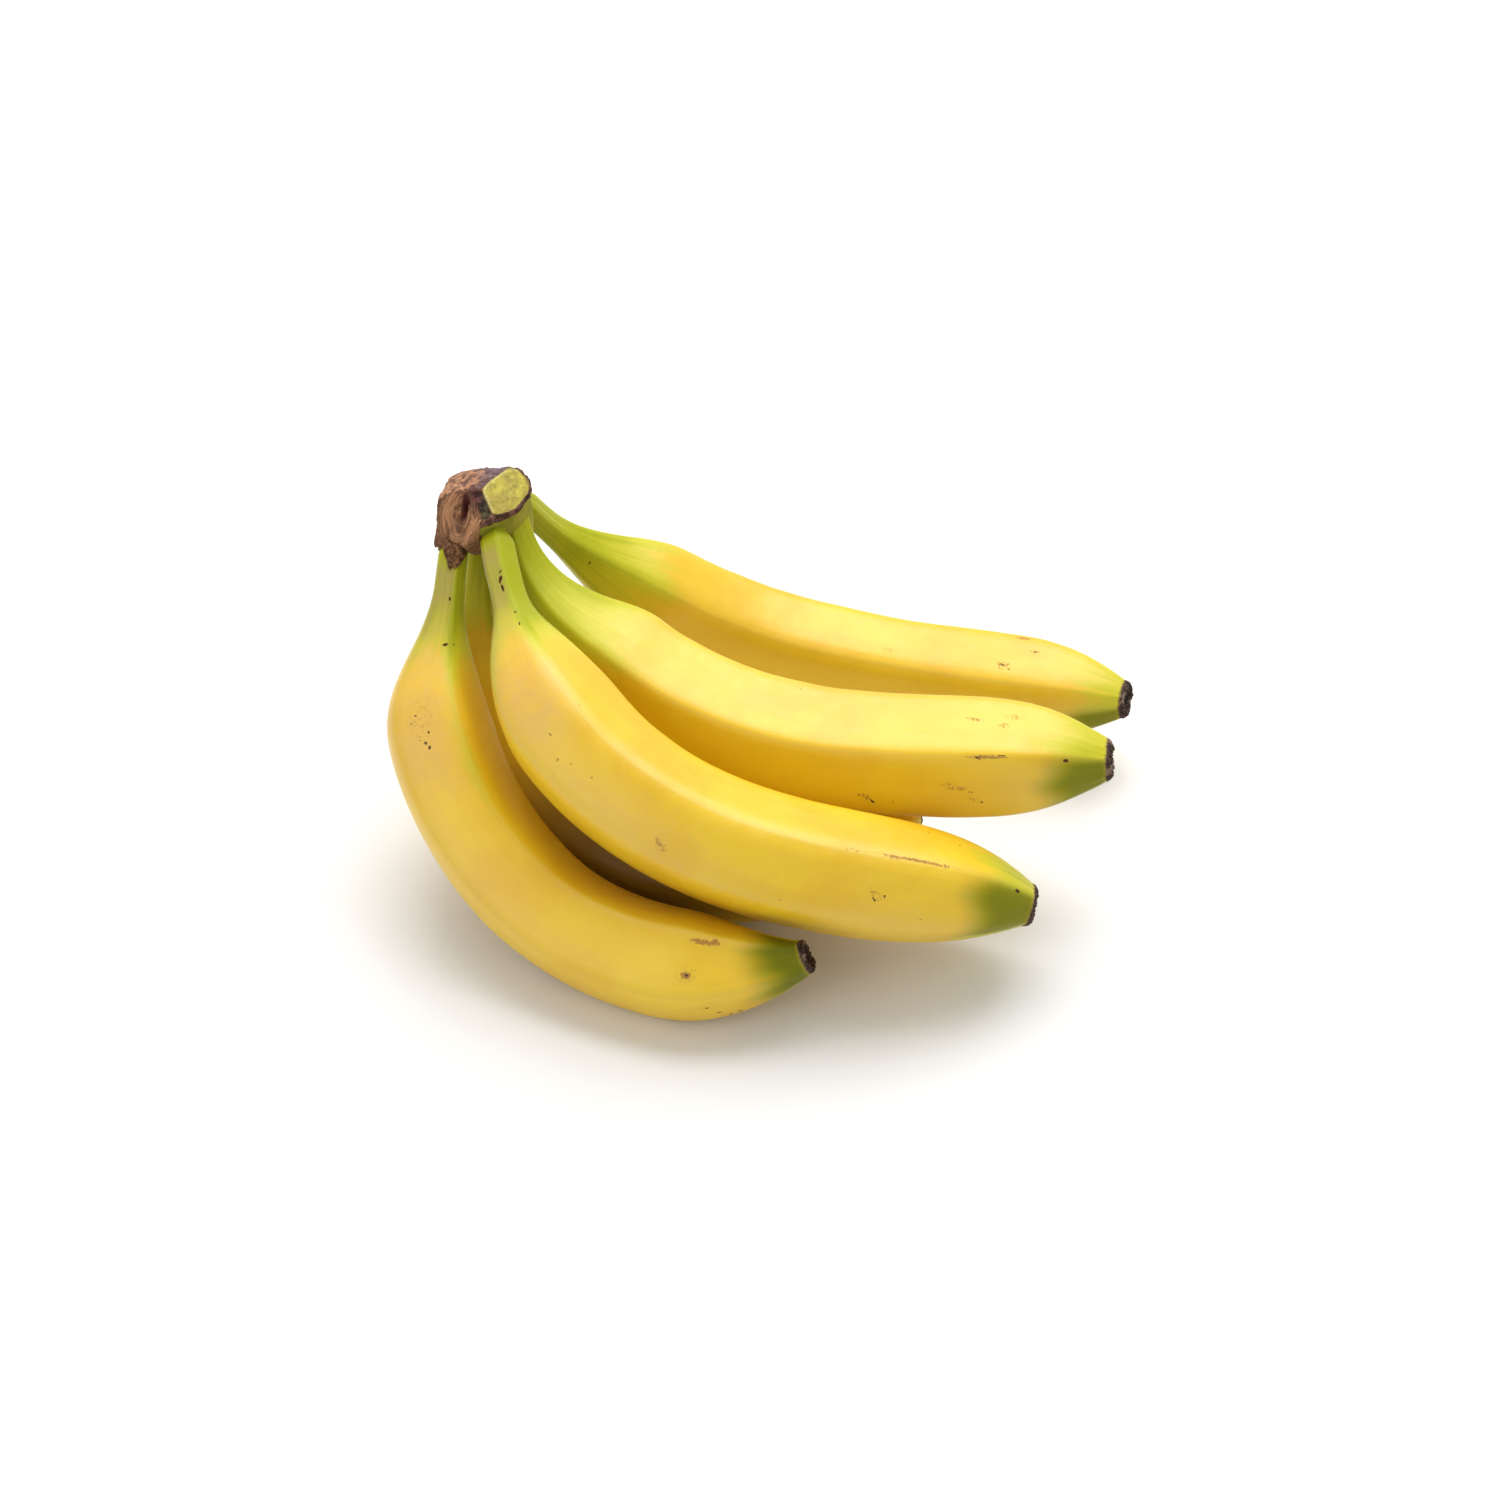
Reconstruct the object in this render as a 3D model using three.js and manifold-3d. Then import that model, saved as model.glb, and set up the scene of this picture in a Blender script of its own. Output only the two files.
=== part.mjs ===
// A bunch of five dessert bananas lying on a table, joined by the crown they grew from.
// Millimetres, +Z up. The origin is the middle of the footprint, on the table.
// The fingers lie on their bellies with the crown raised at the -X end; -Y is the front.
import * as THREE from 'three';
import { mergeVertices } from 'three/addons/utils/BufferGeometryUtils.js';
import Module from 'manifold-3d';

const wasm = await Module();
wasm.setup();

// ---------------------------------------------------------------- driving dimensions
// Middle of the footprint in the growing frame that the finger paths are written in.
const FOOTPRINT_CENTRE = new THREE.Vector3(6.66, -4.22, 0.69);
const RINGS = 44;            // rings of vertices along each finger
const SIDES = 15;            // vertices around each ring
const RIDGES = 5;            // a banana is five-sided, one ridge between each two faces
const RIDGE_SHARPNESS = 6.5; // higher makes the ridges crisper and the faces flatter
const SECTION_SIZE = 0.953;  // scales the five-sided section to the mean radius asked for
const SOCKET_GAP = 0.3;      // clearance between a neck and the crown around it
const BLUR_STEPS = 8;        // samples to each side when a profile is softened

// One row for each finger: the four control points of its centre line from inside the
// crown to the blossom end, then its neck, shoulder, body and taper.
// neckLength and shoulderLength run along the centre line from the crown; taperLength
// runs back from the blossom end. bellyBulge is how far the shoulder stands out on the
// belly side. ridgeTurn is the angle of one ridge, in degrees, from the belly side
// towards the back of the finger. shoulderPower is below 1 where the shoulder swells
// early, and taperPower is how late the body narrows towards the blossom end. softness
// is the distance over which corners in the profile are rounded.
const FINGERS = [
  {
    name: 'banana_front',
    path: [[-91, 26.5, 103.5], [-115.3, -63.2, -5.2], [-7.3, -86.8, 14.5], [17.3, -83.9, 26.7]],
    neckRadius: 4.6, neckLength: 18.4, shoulderLength: 45.9, bellyBulge: 5.2,
    bodyRadius: 17, taperLength: 38.1, endRadius: 4.9, ridgeTurn: 221,
    shoulderPower: 1.1, taperPower: 1.3, softness: 5,
    colour: '#d9b437',
  },
  {
    name: 'banana_middle',
    path: [[-80.5, 31.5, 103], [-60.8, -86.8, 48.7], [32.2, -57.8, 39.9], [85.9, -64.1, 27.6]],
    neckRadius: 5.4, neckLength: 33.8, shoulderLength: 41.3, bellyBulge: 1.2,
    bodyRadius: 19.2, taperLength: 69.3, endRadius: 6.2, ridgeTurn: 270,
    shoulderPower: 0.5, taperPower: 3.4, softness: 5,
    colour: '#e2bd3c',
  },
  {
    name: 'banana_upper',
    path: [[-75.5, 41.5, 103], [-69.1, -6.5, 24.2], [46.8, -20.1, 49.9], [110.8, -30, 56.6]],
    neckRadius: 4.8, neckLength: 10, shoulderLength: 63.5, bellyBulge: -7.6,
    bodyRadius: 18.1, taperLength: 45.2, endRadius: 6.1, ridgeTurn: 249,
    shoulderPower: 0.73, taperPower: 2.5, softness: 8,
    colour: '#e8c343',
  },
  {
    name: 'banana_back',
    path: [[-74.5, 51, 96.5], [-28.3, 95.1, -5.8], [58.8, 57, 17.2], [124.5, 32, 27.4]],
    neckRadius: 4.6, neckLength: 18.6, shoulderLength: 53.8, bellyBulge: -5,
    bodyRadius: 16.5, taperLength: 35.2, endRadius: 6.2, ridgeTurn: 199,
    shoulderPower: 1.2, taperPower: 2.1, softness: 8,
    colour: '#ecc94a',
  },
  {
    name: 'banana_under',
    path: [[-83.5, 43, 89.5], [-112.9, -2.5, -15.3], [10.5, -77.5, 21.5], [50, -17, 22.5]],
    neckRadius: 5.6, neckLength: 19, shoulderLength: 33, bellyBulge: 0,
    bodyRadius: 15.4, taperLength: 100, endRadius: 6, ridgeTurn: 230,
    shoulderPower: 1, taperPower: 2.3, softness: 6,
    colour: '#c79f2c',
  },
];

// The crown: a many-sided lump about its own centre. Each face is its outward direction
// and its distance from the centre.
const CROWN_CENTRE = new THREE.Vector3(-83.5, 33.5, 104);
const CROWN_SHARPNESS = 10;
const CROWN_DETAIL = 9;
const CROWN_COLOUR = '#7d5a44';
const CROWN_FACES = [
  { facing: [-0.35, -0.78, 0.50], distance: 13.5 },  // old cut, dried brown
  { facing: [0.45, -0.38, 0.81], distance: 12.0 },   // small fresh knife cut
  { facing: [-0.15, 0.38, 0.91], distance: 11.8 },   // dried top
  { facing: [-1.00, 0.07, 0.07], distance: 13.5 },   // left flank
  { facing: [-0.60, 0.53, 0.60], distance: 12.0 },   // chamfer between flank and top
  { facing: [1.00, 0.10, 0.11], distance: 15.0 },    // right flank
  { facing: [0.50, 0.50, 0.71], distance: 16.0 },    // chamfer above it
  { facing: [0.15, 0.85, -0.50], distance: 23.0 },   // back
  { facing: [0.72, -0.64, -0.26], distance: 9.0 },   // underside of the first row's necks
  { facing: [0.00, -0.67, -0.74], distance: 11.5 },  // underside at the old cut
];

// ---------------------------------------------------------------- finger
// Eases from 0 to 1 with no corner at either end.
function ease(x) {
  const t = THREE.MathUtils.clamp(x, 0, 1);
  return t * t * (3 - 2 * t);
}

// Mean of a profile around a distance, weighted by a bell curve as wide as the softness.
function softened(profile, distance, softness) {
  let sum = 0;
  let weight = 0;
  for (let step = -BLUR_STEPS; step <= BLUR_STEPS; step += 1) {
    const widths = (2 * step) / BLUR_STEPS;
    const share = Math.exp(-(widths ** 2) / 2);
    sum += share * profile(distance + widths * softness);
    weight += share;
  }
  return sum / weight;
}

// Radius of a finger at a distance along its centre line: the neck swells over the
// shoulder to the body, and the body falls away over the taper to the blossom end.
function radiusAt(finger, distance, length) {
  const start = (distance - finger.neckLength) / finger.shoulderLength;
  const swell = ease(start) ** finger.shoulderPower;
  const past = Math.max(0, distance - (length - finger.taperLength)) / finger.taperLength;
  const fall = (finger.bodyRadius - finger.endRadius) * past ** finger.taperPower;
  return finger.neckRadius + (finger.bodyRadius - fall - finger.neckRadius) * swell;
}

// How far the middle of the section moves to the belly side: most just past the neck,
// where the shoulder swells, and nothing again by the middle of the body.
function bulgeAt(finger, distance) {
  const start = finger.neckLength;
  const rise = ease((distance - start) / finger.shoulderLength);
  const fall = ease((distance - start) / (1.6 * finger.shoulderLength) - 0.375);
  return finger.bellyBulge * rise * (1 - fall);
}

// Distance from the middle of a unit five-sided section to its edge at an angle. The
// flat faces are blended by a power mean, which rounds the ridges between them.
function sectionAt(angle, ridgeTurn) {
  const step = (2 * Math.PI) / RIDGES;
  let sum = 0;
  for (let face = 0; face < RIDGES; face += 1) {
    const away = angle - THREE.MathUtils.degToRad(ridgeTurn) - (face + 0.5) * step;
    sum += Math.max(0, Math.cos(away)) ** RIDGE_SHARPNESS;
  }
  return SECTION_SIZE * sum ** (-1 / RIDGE_SHARPNESS);
}

// A closed skin over rings of points, with a fan to a middle point at each end.
function skinOverRings(rings, startPoint, endPoint) {
  const sides = rings[0].length;
  const positions = [];
  const indices = [];
  for (const point of [...rings.flat(), startPoint, endPoint]) {
    positions.push(point.x, point.y, point.z);
  }
  const start = rings.length * sides;
  const end = start + 1;
  for (let side = 0; side < sides; side += 1) {
    const next = (side + 1) % sides;
    for (let ring = 0; ring < rings.length - 1; ring += 1) {
      const near = ring * sides;
      const far = near + sides;
      indices.push(near + side, near + next, far + next);
      indices.push(near + side, far + next, far + side);
    }
    const last = (rings.length - 1) * sides;
    indices.push(start, next, side);
    indices.push(end, last + side, last + next);
  }
  const geometry = new THREE.BufferGeometry();
  geometry.setAttribute('position', new THREE.Float32BufferAttribute(positions, 3));
  geometry.setIndex(indices);
  return geometry;
}

// A finger is its five-sided section carried along the centre line. The section's zero
// angle points to the belly, the outside of the bend, in the plane the finger bends in.
// extra thickens it all over, for the sockets in the crown.
function fingerGeometry(finger, extra = 0) {
  const points = finger.path.map((p) => new THREE.Vector3(...p));
  const curve = new THREE.CubicBezierCurve3(...points);
  curve.arcLengthDivisions = 800;
  const length = curve.getLength();
  const chord = points[3].clone().sub(points[0]);
  const sag = points[1].clone().add(points[2]).multiplyScalar(0.5).sub(points[0]);
  const bendNormal = chord.cross(sag).normalize();
  const rings = [];
  for (let ring = 0; ring < RINGS; ring += 1) {
    const along = ring / (RINGS - 1);
    const middle = curve.getPointAt(along);
    const tangent = curve.getTangentAt(along);
    const belly = bendNormal.clone().cross(tangent).normalize();
    const back = tangent.clone().cross(belly);
    const distance = along * length;
    const soft = finger.softness;
    const radius = softened((d) => radiusAt(finger, d, length), distance, soft) + extra;
    middle.addScaledVector(belly, softened((d) => bulgeAt(finger, d), distance, soft));
    const points = [];
    for (let side = 0; side < SIDES; side += 1) {
      const angle = (side / SIDES) * 2 * Math.PI + THREE.MathUtils.degToRad(finger.ridgeTurn);
      const reach = radius * sectionAt(angle, finger.ridgeTurn);
      points.push(
        middle.clone()
          .addScaledVector(belly, reach * Math.cos(angle))
          .addScaledVector(back, reach * Math.sin(angle)),
      );
    }
    rings.push(points);
  }
  return skinOverRings(rings, curve.getPointAt(0), curve.getPointAt(1));
}

// ---------------------------------------------------------------- crown
// A ball pushed out to the crown's faces by the same power mean, in three dimensions.
function crownGeometry() {
  const geometry = new THREE.IcosahedronGeometry(1, CROWN_DETAIL);
  const position = geometry.getAttribute('position');
  const direction = new THREE.Vector3();
  const facings = CROWN_FACES.map((face) => new THREE.Vector3(...face.facing).normalize());
  for (let i = 0; i < position.count; i += 1) {
    direction.fromBufferAttribute(position, i).normalize();
    let sum = 0;
    CROWN_FACES.forEach((face, k) => {
      sum += Math.max(0, direction.dot(facings[k]) / face.distance) ** CROWN_SHARPNESS;
    });
    direction.multiplyScalar(sum ** (-1 / CROWN_SHARPNESS)).add(CROWN_CENTRE);
    position.setXYZ(i, direction.x, direction.y, direction.z);
  }
  return geometry;
}

function toSolid(geometry) {
  const bare = geometry.clone();
  bare.deleteAttribute('normal');
  bare.deleteAttribute('uv');
  const merged = mergeVertices(bare, 1e-4);
  return new wasm.Manifold(new wasm.Mesh({
    numProp: 3,
    vertProperties: new Float32Array(merged.getAttribute('position').array),
    triVerts: new Uint32Array(merged.getIndex().array),
  }));
}

function toGeometry(solid) {
  const mesh = solid.getMesh();
  const geometry = new THREE.BufferGeometry();
  geometry.setAttribute('position', new THREE.BufferAttribute(mesh.vertProperties, 3));
  geometry.setIndex(new THREE.BufferAttribute(mesh.triVerts, 1));
  return geometry;
}

function peelMesh(geometry, name, colour, roughness) {
  const material = new THREE.MeshStandardMaterial({ color: colour, roughness, metalness: 0 });
  const mesh = new THREE.Mesh(geometry, material);
  mesh.name = name;
  return mesh;
}

// ---------------------------------------------------------------- the bunch
const bunch = new THREE.Group();
bunch.position.copy(FOOTPRINT_CENTRE).negate();

let crown = toSolid(crownGeometry());
for (const finger of FINGERS) {
  crown = crown.subtract(toSolid(fingerGeometry(finger, SOCKET_GAP)));
  bunch.add(peelMesh(fingerGeometry(finger), finger.name, finger.colour, 0.5));
}
bunch.add(peelMesh(toGeometry(crown), 'crown', CROWN_COLOUR, 0.85));

export default bunch;
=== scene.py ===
import math

import bpy
import numpy as np
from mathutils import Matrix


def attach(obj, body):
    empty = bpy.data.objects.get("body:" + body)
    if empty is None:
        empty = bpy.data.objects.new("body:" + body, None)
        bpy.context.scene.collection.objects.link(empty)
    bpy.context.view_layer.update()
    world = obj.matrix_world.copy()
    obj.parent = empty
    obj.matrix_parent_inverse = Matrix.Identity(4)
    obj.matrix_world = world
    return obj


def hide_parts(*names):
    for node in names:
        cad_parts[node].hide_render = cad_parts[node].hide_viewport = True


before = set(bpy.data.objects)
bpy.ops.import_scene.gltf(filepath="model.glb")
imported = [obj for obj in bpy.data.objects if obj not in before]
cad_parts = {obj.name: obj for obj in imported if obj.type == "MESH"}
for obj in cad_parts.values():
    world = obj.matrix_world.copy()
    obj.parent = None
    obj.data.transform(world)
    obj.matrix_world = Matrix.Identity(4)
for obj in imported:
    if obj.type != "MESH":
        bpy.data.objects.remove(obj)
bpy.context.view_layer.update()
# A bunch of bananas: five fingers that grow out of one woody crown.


# ============================================================ the five fingers
# Each finger is one fruit: a green stalk or neck, a five-sided peel over soft pulp, and the
# dried scar of the blossom at the far end. Nothing is assembled: the peel grew in one piece
# with its neck, and the neck grew out of the crown.

# Sizes in millimetres. A path is the four points of a cubic curve, in the frame that the
# bunch grew in; GROWN_TO_TABLE moves that frame to where the bunch lies. Ridges, and the
# places of marks, are angles in degrees round the finger: 0 is the belly, inside the bend,
# and 180 the back. A flare draws the neck in where it enters the crown. green_neck and
# green_end say how far the green reaches, green_fade over what length it goes, dark_side
# which side of the end is darkest, dark_wide how far round that reaches and dark_depth how
# strong it is. tan is the strength of the dry brown on one side of the neck.
GROWN_TO_TABLE = np.array([-6.66, 4.22, -0.69])
FINGERS = {
    "banana_front": dict(
        path=[(-91, 26.5, 103.5), (-115.3, -63.2, -5.2), (-7.3, -86.8, 14.5), (17.3, -83.9, 26.7)],
        neck_radius=4.6, neck_length=18.4, shoulder_length=45.9, belly_bulge=5.2,
        body_radius=17.0, taper_length=38.1, end_radius=4.9,
        shoulder_power=1.1, taper_power=1.3, softness=5,
        ridges=(226, 299, 11, 80, 150), crispness=6, flare=-2.6, flare_length=6.5,
        green_neck=37, green_fade=36, green_end=19.5,
        dark_side=270, dark_wide=95, dark_depth=0.95,
        tan=0.75, tan_side=272, seed=11),
    "banana_middle": dict(
        path=[(-80.5, 31.5, 103), (-60.8, -86.8, 48.7), (32.2, -57.8, 39.9), (85.9, -64.1, 27.6)],
        neck_radius=5.4, neck_length=33.8, shoulder_length=41.3, belly_bulge=1.2,
        body_radius=19.2, taper_length=69.3, end_radius=6.2,
        shoulder_power=0.5, taper_power=3.4, softness=5,
        ridges=(272, 332, 54, 124, 195), crispness=7, flare=-2.6, flare_length=7.4,
        green_neck=44, green_fade=36, green_end=26,
        dark_side=316, dark_wide=45, dark_depth=0.82,
        tan=0.7, tan_side=321, seed=23),
    "banana_upper": dict(
        path=[(-75.5, 41.5, 103), (-69.1, -6.5, 24.2), (46.8, -20.1, 49.9), (110.8, -30, 56.6)],
        neck_radius=4.8, neck_length=10, shoulder_length=63.5, belly_bulge=-7.6,
        body_radius=18.1, taper_length=45.2, end_radius=6.1,
        shoulder_power=0.73, taper_power=2.5, softness=8,
        ridges=(255, 325, 43, 107, 176), crispness=10, flare=-1.0, flare_length=5,
        green_neck=57, green_fade=58, green_end=24,
        dark_side=304, dark_wide=45, dark_depth=0.82,
        tan=0.0, tan_side=304, seed=37),
    "banana_back": dict(
        path=[(-74.5, 51, 96.5), (-28.3, 95.1, -5.8), (58.8, 57, 17.2), (124.5, 32, 27.4)],
        neck_radius=4.6, neck_length=18.6, shoulder_length=53.8, belly_bulge=-5,
        body_radius=16.5, taper_length=35.2, end_radius=6.2,
        shoulder_power=1.2, taper_power=2.1, softness=8,
        ridges=(198, 266, 339, 55, 125), crispness=6.5, flare=-0.5, flare_length=5,
        green_neck=56, green_fade=66, green_end=22,
        dark_side=262, dark_wide=30, dark_depth=0.82,
        tan=0.0, tan_side=262, seed=41),
    "banana_under": dict(
        path=[(-83.5, 43, 89.5), (-112.9, -2.5, -15.3), (10.5, -77.5, 21.5), (50, -17, 22.5)],
        neck_radius=5.6, neck_length=19, shoulder_length=33, belly_bulge=0,
        body_radius=15.4, taper_length=100, end_radius=6.0,
        shoulder_power=1, taper_power=2.3, softness=6,
        ridges=(230, 302, 14, 86, 158), crispness=6.5, flare=-0.5, flare_length=5,
        green_neck=26, green_fade=36, green_end=2,
        dark_side=300, dark_wide=30, dark_depth=0.82,
        tan=0.2, tan_side=280, seed=59),
}
MEAN_SECTION = 0.996     # mean reach of the five-sided section, for a radius of 1
WALL_ROWS = 436
SCAR_ROWS = 16
CUP_ROWS = 24
COLUMNS = 200
ROW_CROWDING = 0.35      # how much closer than even the rows stand at the two ends
SCAR_START = 1.4         # where the dried scar begins, before the end
SCAR_OUT = 0.3           # how far its rim stands past the end
RIM_ROUNDING = 0.55      # how far the scar's edge turns over: 1 would be a quarter circle
CUP_INWARD = (0, .08, .3, .55, .78, .9, 1)             # shares of the way in to the pole
CUP_HEIGHT = (.3, .4, -.7, -1.5, -1.1, -.5, -.4)       # and how far past the end they stand
BELL_STEPS = 17          # readings in the bell curve that softens a profile
LUMPS = ((0.30, 27), (0.13, 10), (0.035, 3.2))         # height and size of the peel's lumps
RAGGED = ((0.38, 5.5), (0.26, 2.1), (0.24, 0.9))       # the same for the scar's torn rim


def ease(x):
    """0 below 0, 1 above 1, and 3t^2 - 2t^3 between, so there is no corner at either end."""
    t = np.clip(x, 0, 1)
    return t * t * (3 - 2 * t)


def cloud(points, size, seed):
    """Soft lumps between -1 and 1. Every corner of a cubic lattice of the given size holds a
    random number, and a point mixes its eight nearest corners by 3t^2 - 2t^3 on each axis."""
    table = np.random.default_rng(seed).uniform(-1, 1, 4096)
    cell = np.asarray(points, float) / size
    low = np.floor(cell).astype(np.int64)
    part = ease(cell - low)
    total = np.zeros(cell.shape[:-1])
    for corner in np.ndindex(2, 2, 2):
        at = low + corner
        place = (at[..., 0] * 73856093) ^ (at[..., 1] * 19349663) ^ (at[..., 2] * 83492791)
        weight = np.prod(np.where(corner, part, 1 - part), axis=-1)
        total += table[place & 4095] * weight
    return total


def centre_line(path):
    """The cubic (1-t)^3 A + 3(1-t)^2 t B + 3(1-t) t^2 C + t^3 D through a finger's four
    points, with the length run along it and its unit direction, at 2001 even steps of t."""
    a, b, c, d = np.array(path, float) + GROWN_TO_TABLE
    t = np.linspace(0, 1, 2001)[:, None]
    spots = (1 - t)**3 * a + 3 * (1 - t)**2 * t * b + 3 * (1 - t) * t**2 * c + t**3 * d
    heading = (1 - t)**2 * (b - a) + 2 * (1 - t) * t * (c - b) + t**2 * (d - c)
    heading /= np.linalg.norm(heading, axis=1)[:, None]
    run = np.r_[0, np.cumsum(np.linalg.norm(np.diff(spots, axis=0), axis=1))]
    return spots, heading, run


def along_line(values, run, stations):
    """Reads x, y and z at the given stations, straight between the steps of the line."""
    return np.stack([np.interp(stations, run, values[:, k]) for k in range(3)], axis=-1)


def radius_at(finger, station, length):
    """Neck radius, swelling over the shoulder to the body's, less a fall that grows as a
    power of the way down the taper."""
    swell = ease((station - finger["neck_length"]) / finger["shoulder_length"])
    swell = swell**finger["shoulder_power"]
    past = np.clip(station - (length - finger["taper_length"]), 0, None) / finger["taper_length"]
    fall = (finger["body_radius"] - finger["end_radius"]) * past**finger["taper_power"]
    return finger["neck_radius"] + (finger["body_radius"] - fall - finger["neck_radius"]) * swell


def bulge_at(finger, station):
    """How far the section's middle stands towards the belly: it rises over the shoulder and
    falls away again by the middle of the body."""
    start, reach = finger["neck_length"], finger["shoulder_length"]
    rise = ease((station - start) / reach)
    fall = ease((station - start) / (1.6 * reach) - 0.375)
    return finger["belly_bulge"] * rise * (1 - fall)


def softened(profile, station, softness):
    """The profile's mean round a station, weighted by a bell curve as wide as the softness."""
    steps = np.linspace(-2, 2, BELL_STEPS)
    shares = np.exp(-steps**2 / 2)
    total = sum(share * profile(station + step * softness) for share, step in zip(shares, steps))
    return total / shares.sum()


def section_reach(angle, ridges, crispness):
    """A rounded five-sided section: each face lies midway between two ridges, at the cosine
    of half their spread, and the faces join as a power mean whose power is the crispness."""
    ridge = np.sort(np.radians(ridges))
    spread = np.diff(np.r_[ridge, ridge[0] + 2 * np.pi])
    middle = ridge + spread / 2
    facing = np.maximum(0, np.cos(angle[..., None] - middle)) / np.cos(spread / 2)
    reach = (facing ** crispness[..., None]).sum(-1) ** (-1 / crispness)
    return reach / reach.mean(axis=1, keepdims=True) * MEAN_SECTION


def round_trip(angle, middle):
    """Signed turn in degrees from one angle to another, by the shorter way."""
    return (np.degrees(angle) - middle + 180) % 360 - 180


def finger_surface(finger):
    """A profile carried along the centre line. Row i holds a station along the line and a
    radius; column j an angle. Rows run up the wall of the peel, over the ragged rim of the
    scar, and down into its cup to a pole. The point is the line's place at the station, plus
    radius times section times the cosine towards the belly and the sine towards the back."""
    spots, heading, run = centre_line(finger["path"])
    length = run[-1]
    t = np.linspace(0, 1, WALL_ROWS)
    wall = (length - SCAR_START) * (t - ROW_CROWDING * np.sin(2 * np.pi * t) / (2 * np.pi))
    scar = np.linspace(length - SCAR_START, length + SCAR_OUT, SCAR_ROWS + 1)[1:]
    inward = np.linspace(0, 1, CUP_ROWS + 1)[1:-1]
    cup = length + np.interp(inward, CUP_INWARD, CUP_HEIGHT)
    station = np.r_[wall, scar, cup][:, None]
    wall_radius = softened(lambda at: radius_at(finger, at, length), wall, finger["softness"])
    rounding = np.sqrt(1 - (RIM_ROUNDING * (scar - wall[-1]) / (scar[-1] - wall[-1]))**2)
    rim_radius = wall_radius[-1] * rounding[-1]
    radius = np.r_[wall_radius, wall_radius[-1] * rounding, rim_radius * (1 - inward)][:, None]
    angle = np.linspace(0, 2 * np.pi, COLUMNS, endpoint=False)[None, :]
    radius = radius + finger["flare"] * np.exp(-(station / finger["flare_length"])**4)

    in_scar = ease((station - (length - SCAR_START)) / (SCAR_START + SCAR_OUT))
    in_cup = np.r_[np.zeros(WALL_ROWS + SCAR_ROWS), inward][:, None]
    grown = ease((station - finger["neck_length"] * 0.6) / finger["shoulder_length"])
    near_end = ease((station - (length - 24)) / 20)
    crispness = 6.5 + (finger["crispness"] - 6.5) * grown * (1 - near_end) - 2.0 * near_end
    section = section_reach(np.broadcast_to(angle, (len(station), COLUMNS)), finger["ridges"],
                            np.broadcast_to(crispness, (len(station), COLUMNS)))
    section = section + (1 - section) * np.maximum(in_cup, 0.5 * in_scar)

    # The peel laid out straight, as a cylinder: a place for lumps and grain that has no seam.
    girth = finger["body_radius"]
    flat = np.stack(np.broadcast_arrays(girth * np.cos(angle), girth * np.sin(angle),
                                        station), axis=-1)
    lumps = sum(height * cloud(flat, size, finger["seed"] + k)
                for k, (height, size) in enumerate(LUMPS))
    fibres = cloud(flat * (1, 1, 0.12), 2.3, finger["seed"] + 3)
    neckness = 1 - ease((station - finger["neck_length"]) / 22)
    relief = lumps * (1 - 0.6 * neckness) * (1 - in_scar) + fibres * (0.03 + 0.06 * neckness)
    puckers = cloud(flat * (1, 1, 0.25), 3.4, finger["seed"] + 4)
    relief = relief + 0.28 * puckers * ease((station - (length - 11)) / 9) * (1 - in_scar)
    ridge_gap = np.min([np.abs(round_trip(angle, r)) for r in finger["ridges"]], axis=0)
    ridge_line = np.exp(-(np.radians(ridge_gap) * radius / 0.9)**2) * (1 - in_scar)
    relief = relief + 0.10 * ridge_line
    crumbs = cloud(flat, 1.1, finger["seed"] + 5) + 0.6 * cloud(flat, 0.5, finger["seed"] + 6)
    relief = relief + 0.26 * crumbs * in_scar * (1 - in_cup)
    ragged = sum(height * cloud(flat * (1, 1, 0), size, finger["seed"] + 7 + k)
                 for k, (height, size) in enumerate(RAGGED))
    push = ragged * in_scar * (1 - in_cup)**1.5 + 0.35 * crumbs * in_cup * (1 - in_cup)

    reach = radius * section + relief * np.minimum(1, radius / 2)
    middle = along_line(spots, run, station[:, 0])
    tangent = along_line(heading, run, station[:, 0])
    tangent /= np.linalg.norm(tangent, axis=1)[:, None]
    past_end = np.maximum(0, station - length)
    middle = middle + tangent * past_end
    a, b, c, d = np.array(finger["path"], float)
    hinge = np.cross(d - a, (b + c) / 2 - a)
    hinge /= np.linalg.norm(hinge)
    belly = np.cross(hinge, tangent)
    belly /= np.linalg.norm(belly, axis=1)[:, None]
    back = np.cross(tangent, belly)
    # The bulge is softened by a bell that widens from 0 to 1 mm over the shoulder.
    middle = middle + belly * softened(lambda at: bulge_at(finger, at), station, grown)
    points = (middle[:, None, :] + tangent[:, None, :] * push[..., None]
              + belly[:, None, :] * (reach * np.cos(angle))[..., None]
              + back[:, None, :] * (reach * np.sin(angle))[..., None])
    first = middle[0] - tangent[0] * 0.3
    last = middle[-1]
    sheet = dict(station=np.broadcast_to(station, points.shape[:2]),
                 angle=np.broadcast_to(angle, points.shape[:2]),
                 radius=np.broadcast_to(radius, points.shape[:2]),
                 flat=flat, length=length, in_cup=in_cup, ridge_line=ridge_line, ragged=ragged)
    return points, first, last, sheet


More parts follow.
